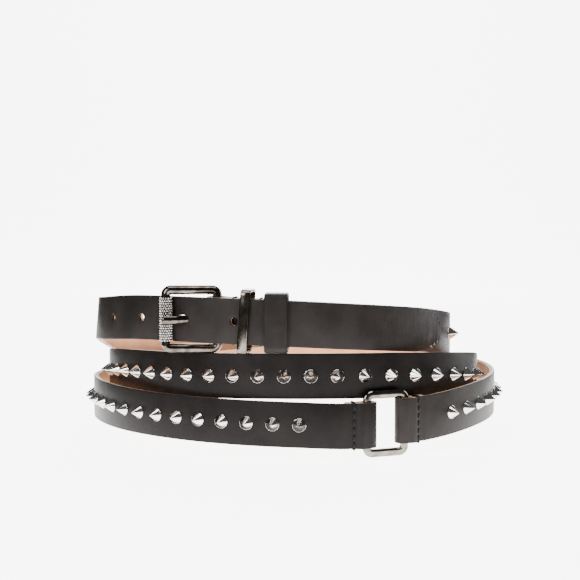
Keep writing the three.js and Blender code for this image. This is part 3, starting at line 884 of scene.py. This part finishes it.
def stud_master():
    stud = made(
        bpy.ops.mesh.primitive_cylinder_add, "stud_master", vertices=40,
        radius=SHOWN_STUD_DIAMETER / 2, depth=STUD_RIM, location=(0, 0, STUD_RIM / 2))
    edit(stud, "FACE")
    pick(stud, "faces", lambda face: face.normal.z > 0.9)
    bpy.ops.mesh.inset(thickness=STUD_LIP)
    steps = 3
    radius = foot = SHOWN_STUD_DIAMETER / 2 - STUD_LIP
    rise = (SHOWN_STUD_HEIGHT - STUD_RIM) / steps
    for i in range(steps):
        next_radius = foot * (1 - (i + 1) / steps) + STUD_POINT
        bpy.ops.mesh.extrude_region_move(TRANSFORM_OT_translate={"value": (0, 0, rise)})
        bpy.ops.transform.resize(value=(next_radius / radius, next_radius / radius, 1))
        radius = next_radius
    done()
    round_edges(stud, 0.06 * MM, 1, 40)
    smooth(stud, 25)
    return stud


def stud_turns(way, marks, spaces):
    turns = [marks[0]]
    for i, count in enumerate(spaces):
        steps = math.ceil((marks[i + 1] - marks[i]) / 30) * 40
        length = length_between(way, marks[i], marks[i + 1], steps)
        for _ in range(1, count):
            turns.append(turn_after(way, turns[-1], length / count))
        turns.append(marks[i + 1])
    return turns


def set_studs(label, way, turns):
    """A piece for each stud of the front half, and one for the row behind."""
    number = 0
    behind = []
    for turn in turns:
        place, out, up, _ = face_at(way, turn)
        matrix = matrix_from(up, out.cross(up), out, place)
        if abs(turn - round(turn / FULL_TURN) * FULL_TURN) < SHOWN_HALF:
            number += 1
            stud = copied(one_stud, f"{label}_cone_{number:02d}", matrix)
            paint(stud, stud_metal, "stud_metal", f"{label}_strap_stud_{number:02d}")
        else:
            behind.append(copied(one_stud, f"{label}_far_cone", matrix))
    row = joined(behind, f"{label}_far_cones")
    paint(row, stud_metal, "stud_metal")
    print(label, "studs:", number, "in front and", len(behind), "behind")


one_stud = stud_master()
set_studs("buckle", on_buckle_strap,
          stud_turns(on_buckle_strap, BUCKLE_STUD_MARKS, BUCKLE_STUD_SPACES))
set_studs("tip", on_tip_strap, stud_turns(on_tip_strap, TIP_STUD_MARKS, TIP_STUD_SPACES))
scrap(one_stud)

# %% [markdown]
# ## Buckle frame
# The frame is one round bar bent into a rectangle with soft corners. A flat rectangle has its
# corners rounded, its outline becomes a curve, and the curve's own thickness makes the bar.

# %% Dark polished metal
METAL_DARK = (0.050, 0.042, 0.036, 1)
METAL_LIGHT = (0.115, 0.098, 0.086, 1)
WARM_GREY_DARK = (0.085, 0.075, 0.064, 1)
WARM_GREY_LIGHT = (0.17, 0.152, 0.13, 1)


def dark_metal(name, dark, light, gloss):
    shader = Shader(name, Metallic=1)
    place = shader.coordinates()
    clouds = shader.noise(place, 220, 3)
    scratches = shader.noise(shader.stretched(place, (1, 1, 0.1)), 2400, 2)
    shader.set(
        Base_Color=shader.mix(clouds.ramp(0.35, 0.7), dark, light),
        Roughness=clouds * 0.08 + scratches * 0.06 + gloss,
        Normal=shader.bump(clouds, 0.01 * MM, 0.3))
    return shader


gunmetal = dark_metal("dark_gunmetal", METAL_DARK, METAL_LIGHT, 0.08)
warm_grey = dark_metal("warm_grey_metal", WARM_GREY_DARK, WARM_GREY_LIGHT, 0.06)
print("metals:", METAL_DARK[:3], "for the buckle,", WARM_GREY_DARK[:3], "for keeper and ring")

# %% The frame's rounded rectangle
roller_low, roller_high = (Vector(corner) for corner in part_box("buckle_roller"))
roller_place = (roller_low + roller_high) / 2
FRAME_HEIGHT = 38 * MM
FRAME_BAR_SHOWN = 5.3 * MM
FRAME_CORNER = 5.2 * MM
buckle_right = hinge_place - roller_place
bar_spacing = buckle_right.length
buckle_right.normalize()
buckle_up = Vector((0, 0, 1))
buckle_out = buckle_right.cross(buckle_up)
frame_middle = (hinge_place + roller_place) / 2


def rounded_sheet(name, width, height, corner, steps):
    """A flat face in the XY plane with its four corners rounded."""
    piece = made(bpy.ops.mesh.primitive_plane_add, name, (width, height, 1), size=1)
    edit(piece, selection="SELECT")
    bpy.ops.mesh.bevel(offset=corner, segments=steps, affect="VERTICES")
    done()
    return piece


def made_frame():
    piece = rounded_sheet(
        "buckle_frame_bar", bar_spacing, FRAME_HEIGHT - FRAME_BAR,
        FRAME_CORNER - FRAME_BAR / 2, 8)
    edit(piece, "FACE", "SELECT")
    bpy.ops.mesh.delete(type="ONLY_FACE")
    done()
    make_active(piece)
    bpy.ops.object.convert(target="CURVE")
    curve = bpy.context.active_object
    curve.data.bevel_depth = FRAME_BAR_SHOWN / 2
    curve.data.bevel_resolution = 6
    bpy.ops.object.convert(target="MESH")
    piece = named_piece("buckle_frame_bar")
    edit(piece, selection="SELECT")
    bpy.ops.mesh.remove_doubles(threshold=0.001 * MM)
    bpy.ops.mesh.normals_make_consistent(inside=False)
    done()
    piece.data.transform(matrix_from(buckle_right, buckle_up, buckle_out, frame_middle))
    smooth(piece, 60)
    return piece


buckle_bar = made_frame()
paint(buckle_bar, gunmetal, "gunmetal", "buckle_frame")
print("frame:", len(buckle_bar.data.polygons), "faces")

# %% [markdown]
# ## Beaded roller
# The sleeve that turns on the frame's left bar is set with rows of tiny round beads, each row
# shifted by half a bead. A bead is the outer part of a small sphere, modelled once.

# %% Sleeve and beads
ROLLER_LENGTH = 25 * MM
ROLLER_RADIUS = 3.9 * MM
BEAD_RADIUS = 0.60 * MM
BEAD_ROWS = 18
BEADS_ROUND = 15
BEAD_DARK = (0.26, 0.235, 0.225, 1)
BEAD_LIGHT = (0.62, 0.58, 0.56, 1)
sleeve_metal = dark_metal("sleeve_metal", (0.02, 0.018, 0.018, 1), (0.05, 0.045, 0.042, 1), 0.3)
bead_metal = Shader("bead_metal", Metallic=1, Roughness=0.07)
bead_tint = bead_metal.noise(bead_metal.coordinates(), 700, 1)
bead_metal.set(Base_Color=bead_metal.mix(bead_tint.ramp(0.35, 0.65), BEAD_DARK, BEAD_LIGHT))


def made_sleeve():
    core = ROLLER_RADIUS - BEAD_RADIUS * 0.75
    piece = made(
        bpy.ops.mesh.primitive_cylinder_add, "roller_sleeve", vertices=48, radius=core,
        depth=ROLLER_LENGTH)
    edit(piece, "FACE")
    pick(piece, "faces", lambda face: abs(face.normal.z) > 0.9)
    bpy.ops.mesh.inset(thickness=core - (FRAME_BAR / 2 + 0.3 * MM))
    bpy.ops.mesh.bridge_edge_loops()
    done()
    round_edges(piece, 0.2 * MM, 2)
    piece.data.transform(Matrix.Translation(roller_place))
    smooth(piece, 40)
    return piece


def made_beads():
    bead = made(
        bpy.ops.mesh.primitive_ico_sphere_add, "bead_master", subdivisions=2,
        radius=BEAD_RADIUS)
    edit(bead)
    pick(bead, "verts", lambda vert: vert.co.x < -BEAD_RADIUS * 0.3)
    bpy.ops.mesh.delete(type="VERT")
    done()
    smooth(bead, 80)
    beads = []
    pitch = (ROLLER_LENGTH - 2 * BEAD_RADIUS) / (BEAD_ROWS - 1)
    for row in range(BEAD_ROWS):
        height = roller_place.z - ROLLER_LENGTH / 2 + BEAD_RADIUS + row * pitch
        for i in range(BEADS_ROUND):
            angle = 2 * math.pi * (i + (row % 2) / 2) / BEADS_ROUND
            turn = Matrix.Rotation(angle, 4, "Z")
            out = turn @ Vector((ROLLER_RADIUS - BEAD_RADIUS, 0, 0))
            place = Vector((roller_place.x, roller_place.y, height)) + out
            beads.append(copied(bead, "bead", Matrix.Translation(place) @ turn))
    scrap(bead)
    return joined(beads, "roller_beads")


roller_sleeve = made_sleeve()
paint(roller_sleeve, sleeve_metal, "roller_metal", "buckle_roller")
roller_beads = made_beads()
paint(roller_beads, bead_metal, "roller_metal")
print("beads:", BEAD_ROWS * BEADS_ROUND)

# %% [markdown]
# ## Prong
# The prong is a round bar that loops round the hinge bar behind the strap, comes up through its
# hole and rests on the roller. A straight bar with a rounded end is bent along its line.

# %% Prong
ROLLER_CLEARANCE = 0.3 * MM
PRONG_CLEARANCE = 0.25 * MM
PRONG_OVERHANG = 1.4 * MM
PRONG_LIFT = 0.1 * MM
PRONG_FLATNESS = 1.5
# The prong's foot behind the strap is cast wider than its tip.
PRONG_FOOT = 1.35
PRONG_FOOT_LENGTH = 16 * MM
PRONG_EYE_BAR = 1.3 * MM
PRONG_EYE_WIDTH = 2.4


def prong_line():
    half = PRONG_DIAMETER / 2
    under = FRAME_BAR / 2 + PRONG_CLEARANCE + half
    over = ROLLER_RADIUS + ROLLER_CLEARANCE + half
    bend = over * math.sqrt(0.5) * 1.08
    behind = STRAP_THICKNESS + PRONG_CLEARANCE + half
    beside = turn_after(on_tip_strap, PRONG_HOLE_TURN, PRONG_DIAMETER * 2.1)
    through = turn_after(on_tip_strap, PRONG_HOLE_TURN, PRONG_DIAMETER * 0.8)
    places = [
        hinge_place + outward(HINGE_TURN) * under,
        under_face(on_tip_strap, beside, behind),
        under_face(on_tip_strap, through, STRAP_THICKNESS / 2 - 0.4 * MM),
        roller_place + buckle_right * bend * 1.25 + buckle_out * bend * 1.1,
        roller_place + buckle_out * (over + PRONG_LIFT),
        roller_place - buckle_right * PRONG_OVERHANG + buckle_out * over,
    ]
    for place in places:
        place.z = hinge_place.z
    return places


def smooth_line(places, steps):
    """A smooth line through a few places, by the Catmull and Rom rule."""
    line = []
    ends = [2 * places[0] - places[1]] + places + [2 * places[-1] - places[-2]]
    for a, b, c, d in zip(ends, ends[1:], ends[2:], ends[3:]):
        for i in range(steps):
            t = i / steps
            place = 0.5 * (2 * b + (c - a) * t + (2 * a - 5 * b + 4 * c - d) * t**2
                           + (3 * b - a - 3 * c + d) * t**3)
            line.append((place, 0))
    line.append((places[-1], 0))
    return line


def made_prong():
    line = smooth_line(prong_line(), 12)
    length = line_length(line)
    bar = made(
        bpy.ops.mesh.primitive_cylinder_add, "prong_bar", (PRONG_FLATNESS, 1, 1), vertices=24,
        radius=PRONG_DIAMETER / 2, depth=length, rotation=(0, math.pi / 2, 0),
        location=(length / 2, 0, 0))
    round_edges(bar, 0.8 * MM, 4)
    edit(bar, "EDGE")
    pick(bar, "edges", lambda edge: edge.calc_length() > 5 * MM)
    bpy.ops.mesh.subdivide(number_cuts=40)
    done()
    scale_columns(bar, -1 * MM, PRONG_FOOT_LENGTH, lambda x: 1 + (PRONG_FOOT - 1) * min(
        1, (PRONG_FOOT_LENGTH - x) / (2 * MM)))
    bend_along(bar, line)
    eye_radius = (FRAME_BAR + PRONG_EYE_BAR) / 2 + PRONG_CLEARANCE
    eye = made(
        bpy.ops.mesh.primitive_torus_add, "prong_eye", (1, 1, PRONG_EYE_WIDTH),
        major_radius=eye_radius, minor_radius=PRONG_EYE_BAR / 2, major_segments=32,
        minor_segments=12, location=hinge_place)
    piece = joined([bar, eye], "prong_bar")
    smooth(piece, 50)
    return piece


prong_piece = made_prong()
paint(prong_piece, gunmetal, "gunmetal", "buckle_prong")
print("prong:", len(prong_piece.data.polygons), "faces")

# %% [markdown]
# ## Keepers
# Two bands hold the tip against the strap: a bevelled metal one that leans a little, and a wide
# leather one. Each starts as a rounded sheet that is inset, opened and drawn out to its width.

# %% Keeper bands
KEEPER_CLEARANCE = 0.6 * MM
STACK = 3 * STRAP_THICKNESS + 2 * LAY_CLEARANCE


def draw_out(sheet, wall, depth, edge_round, edge_steps):
    """Opens a flat sheet, which leaves a wall round it, and draws the wall out to a depth."""
    edit(sheet, "FACE", "SELECT")
    bpy.ops.mesh.inset(thickness=wall)
    bpy.ops.mesh.delete(type="FACE")
    bpy.ops.mesh.select_all(action="SELECT")
    bpy.ops.mesh.extrude_region_move(TRANSFORM_OT_translate={"value": (0, 0, depth)})
    bpy.ops.mesh.select_all(action="SELECT")
    bpy.ops.transform.translate(value=(0, 0, -depth / 2))
    bpy.ops.mesh.normals_make_consistent(inside=False)
    done()
    round_edges(sheet, edge_round, edge_steps, 50)


def band(name, width, height, wall, edge_round, edge_steps):
    """A closed band round the stack: X out of the belt, Y up it and Z along it."""
    depth = STACK + 2 * KEEPER_CLEARANCE + 2 * wall
    piece = rounded_sheet(name, depth, height, wall * 1.7, 6)
    draw_out(piece, wall, width, edge_round, edge_steps)
    return piece


def place_band(piece, turn, lean):
    radius, height, _ = on_tip_strap(turn + 3 * FULL_TURN)
    middle = CENTRING + outward(turn) * (radius - STACK / 2) + Vector((0, 0, height))
    up = Matrix.Rotation(-math.radians(lean), 3, outward(turn)) @ Vector((0, 0, 1))
    along = outward(turn).cross(up)
    piece.data.transform(matrix_from(outward(turn), up, along, middle))
    smooth(piece, 40)


metal_band = band("metal_band", 5.8 * MM, 36.4 * MM, 1.7 * MM, 1.35 * MM, 3)
place_band(metal_band, -11.9, 4)
paint(metal_band, warm_grey, "gunmetal", "metal_keeper")
leather_band = band("leather_band", 13.3 * MM, 33.4 * MM, 2.2 * MM, 1.0 * MM, 5)
place_band(leather_band, -3.6, 0)
print("bands:", len(metal_band.data.polygons), "and", len(leather_band.data.polygons), "faces")

# %% Leather of the keeper
keeper_leather = Shader("keeper_calf", Specular_IOR_Level=LEATHER_SHEEN)
keeper_place = keeper_leather.coordinates()
keeper_patches = keeper_leather.noise(keeper_place, 60, 3).ramp(0.3, 0.7)
keeper_grain, keeper_pores = grain_of(keeper_leather, keeper_place)
keeper_leather.set(
    Base_Color=keeper_leather.mix(keeper_patches, WORN_DARK, WORN_LIGHT),
    Roughness=keeper_patches * 0.08 + keeper_pores * 0.08 + LEATHER_GLOSS,
    Normal=keeper_leather.bump(keeper_grain * 0.4 + keeper_pores * 0.3, GRAIN_DEPTH, 0.9))
paint(leather_band, keeper_leather, "black_leather", "leather_keeper")
print("keeper leather set")

# %% [markdown]
# ## Joining ring
# The ring is a flat bar bent into a rectangle, with wide bevels that catch the light. It is made
# like the bands, from a sheet that is opened and drawn out.

# %% Joining ring
RING_CORNER = 3.2 * MM + RING_BAR / 2
RING_BEVEL = 1.2 * MM


def made_ring():
    piece = rounded_sheet("ring_bar", RING_WIDTH, RING_HEIGHT, RING_CORNER, 8)
    draw_out(piece, RING_BAR, RING_DEPTH, RING_BEVEL, 3)
    right = (ring_right - ring_left).normalized()
    up = Vector((0, 0, 1))
    middle = (ring_left + ring_right) / 2
    piece.data.transform(matrix_from(right, up, right.cross(up), middle))
    smooth(piece, 25)
    return piece


ring_piece = made_ring()
paint(ring_piece, warm_grey, "gunmetal", "joining_ring")
print("ring:", len(ring_piece.data.polygons), "faces")

# %% [markdown]
# ## Stitches
# Thick waxed thread closes each fold beside the ring and wraps over the strap's edges. The fold
# behind the keepers is closed in the same way, and only its wraps show. A stitch is a short bar
# with round ends, half sunk in the leather.

# %% Thread
THREAD_DARK = (0.002, 0.002, 0.002, 1)
THREAD_LIGHT = (0.008, 0.007, 0.007, 1)
thread = Shader("waxed_thread", Specular_IOR_Level=0.1)
thread_place = thread.coordinates()
thread_twist = thread.noise(thread.stretched(thread_place, (1, 1, 0.5)), 3600, 2)
thread.set(
    Base_Color=thread.mix(thread_twist, THREAD_DARK, THREAD_LIGHT),
    Roughness=thread_twist * 0.2 + 0.35,
    Normal=thread.bump(thread_twist, 0.06 * MM, 1.0))
print("thread colours:", THREAD_DARK[:3], "to", THREAD_LIGHT[:3])

# %% Rows of stitches
THREAD_RADIUS = 0.72 * MM
STITCHES = 6
STITCH_GAP = 0.9 * MM
STITCH_STAND = 0.12 * MM
WRAP_STAND = 0.1 * MM
FOLD_STACK = 2 * STRAP_THICKNESS + LAY_CLEARANCE
BUCKLE_SEAMS = (12 * MM, 27.5 * MM, 39.5 * MM)


def stitch_master(length):
    """A bar with round ends along Z, its middle at the origin."""
    piece = made(
        bpy.ops.mesh.primitive_cylinder_add, "stitch_master", vertices=10,
        radius=THREAD_RADIUS, depth=length)
    round_edges(piece, THREAD_RADIUS * 0.9, 3, 50)
    smooth(piece, 60)
    return piece


def stitch_row(name, way, turn, front):
    """Stitches up the face at a turn, and a wrap of thread over each edge of the fold."""
    place, out, up, _ = face_at(way, turn)
    side = out.cross(up)
    pitch = SHOWN_WIDTH / STITCHES
    depths = ([-STITCH_STAND] if front else []) + [FOLD_STACK + STITCH_STAND]
    stitches = []
    short = stitch_master(pitch - STITCH_GAP)
    upright = matrix_from(out, side, up, Vector((0, 0, 0)))
    for i in range(STITCHES):
        height = (i + 0.5 - STITCHES / 2) * pitch
        for depth in depths:
            centre = place - out * depth + up * height
            stitches.append(copied(short, "stitch", Matrix.Translation(centre) @ upright))
    scrap(short)
    wrap = stitch_master(FOLD_STACK + 2 * THREAD_RADIUS)
    across = matrix_from(up, side, out, Vector((0, 0, 0)))
    for sign in (-1, 1):
        centre = place - out * (FOLD_STACK / 2) + up * sign * (SHOWN_WIDTH / 2 + WRAP_STAND)
        stitches.append(copied(wrap, "stitch", Matrix.Translation(centre) @ across))
    scrap(wrap)
    paint(joined(stitches, name), thread, "black_leather")


left_seam = turn_after(on_buckle_strap, left_fold_turn, -LEFT_SEAM_GAP)
right_seam = turn_after(on_tip_strap, right_fold_turn, RIGHT_SEAM_GAP)
stitch_row("ring_seam_left", on_buckle_strap, left_seam, True)
stitch_row("ring_seam_right", on_tip_strap, right_seam, True)
for number, from_hinge in enumerate(BUCKLE_SEAMS, start=1):
    seam = turn_after(on_buckle_strap, HINGE_TURN, from_hinge)
    stitch_row(f"buckle_seam_{number}", on_buckle_strap, seam, False)
print("seams at turns", round(left_seam, 1), round(right_seam, 1))

# %% [markdown]
# ## Studio
# The belt lies on a white sweep that curves up behind it and glows, so the leather turns light
# grey where it turns away from the camera. In front it is dark, apart from soft boxes at both
# sides and above: that keeps the leather black and draws streaks on the metal.

# %% White sweep
SWEEP_WIDTH = 1.05
SWEEP_NARROWING = 0.3
SWEEP_FRONT = -0.42
SWEEP_BACK = 1.5
SWEEP_HEIGHT = 2.2
SWEEP_GLOW = 6.5
SWEEP_BEND = 0.5
# The sweep lies just under the shown strap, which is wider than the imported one.
SWEEP_DROP = 0.4 * MM


def made_sweep():
    depth = SWEEP_BACK - SWEEP_FRONT
    piece = made(
        bpy.ops.mesh.primitive_plane_add, "white_sweep", (SWEEP_WIDTH, depth, 1), size=1,
        location=(0, SWEEP_FRONT + depth / 2, -SWEEP_DROP))
    edit(piece, "EDGE")
    pick(piece, "edges", lambda edge: all(v.co.y < SWEEP_FRONT + 0.01 for v in edge.verts))
    bpy.ops.transform.resize(value=(SWEEP_NARROWING, 1, 1), center_override=(0, 0, 0))
    pick(piece, "edges", lambda edge: all(v.co.y > SWEEP_BACK - 0.01 for v in edge.verts))
    bpy.ops.mesh.extrude_region_move(TRANSFORM_OT_translate={"value": (0, 0, SWEEP_HEIGHT)})
    pick(piece, "edges", lambda edge: all(
        v.co.y > SWEEP_BACK - 0.01 and v.co.z < 0.01 for v in edge.verts))
    bpy.ops.mesh.bevel(offset=SWEEP_BEND, segments=10)
    done()
    smooth(piece, 60)
    return piece


sweep = made_sweep()
sweep_shader = Shader("white_sweep_paint", Roughness=0.9, Emission_Strength=SWEEP_GLOW)
sweep_tone = sweep_shader.noise(sweep_shader.coordinates(), 3, 1)
sweep_shader.set(
    Base_Color=sweep_shader.mix(sweep_tone, (0.80, 0.80, 0.80, 1), (0.82, 0.82, 0.82, 1)),
    Emission_Color=sweep_shader.mix(sweep_tone, (0.99, 0.99, 0.98, 1), (1, 1, 0.995, 1)))
sweep.data.materials.append(sweep_shader.material)
print("sweep:", len(sweep.data.polygons), "faces")


# %% Soft boxes
BELT_MIDDLE = Vector((0, 0, 0.05))
WORLD_TINT = (1, 0.98, 0.96, 1)
WORLD_GLOW = 0.12


def soft_light(name, width, height, place, power):
    light_data = bpy.data.lights.new(name, "AREA")
    light_data.shape = "RECTANGLE"
    light_data.size = width
    light_data.size_y = height
    light_data.energy = power
    light = bpy.data.objects.new(name, light_data)
    light.location = place
    light.rotation_euler = (BELT_MIDDLE - Vector(place)).to_track_quat("-Z", "Y").to_euler()
    bpy.context.collection.objects.link(light)


world = bpy.data.worlds.new("studio")
bpy.context.scene.world = world
world.use_nodes = True
background = world.node_tree.nodes["Background"]
background.inputs["Color"].default_value = WORLD_TINT
background.inputs["Strength"].default_value = WORLD_GLOW
soft_light("left_softbox", 0.35, 0.6, (-0.60, -0.85, 0.45), 9)
soft_light("right_softbox", 0.5, 0.6, (0.88, 0.34, 0.28), 8)
soft_light("top_softbox", 1.0, 0.5, (0, -0.35, 1.2), 14)
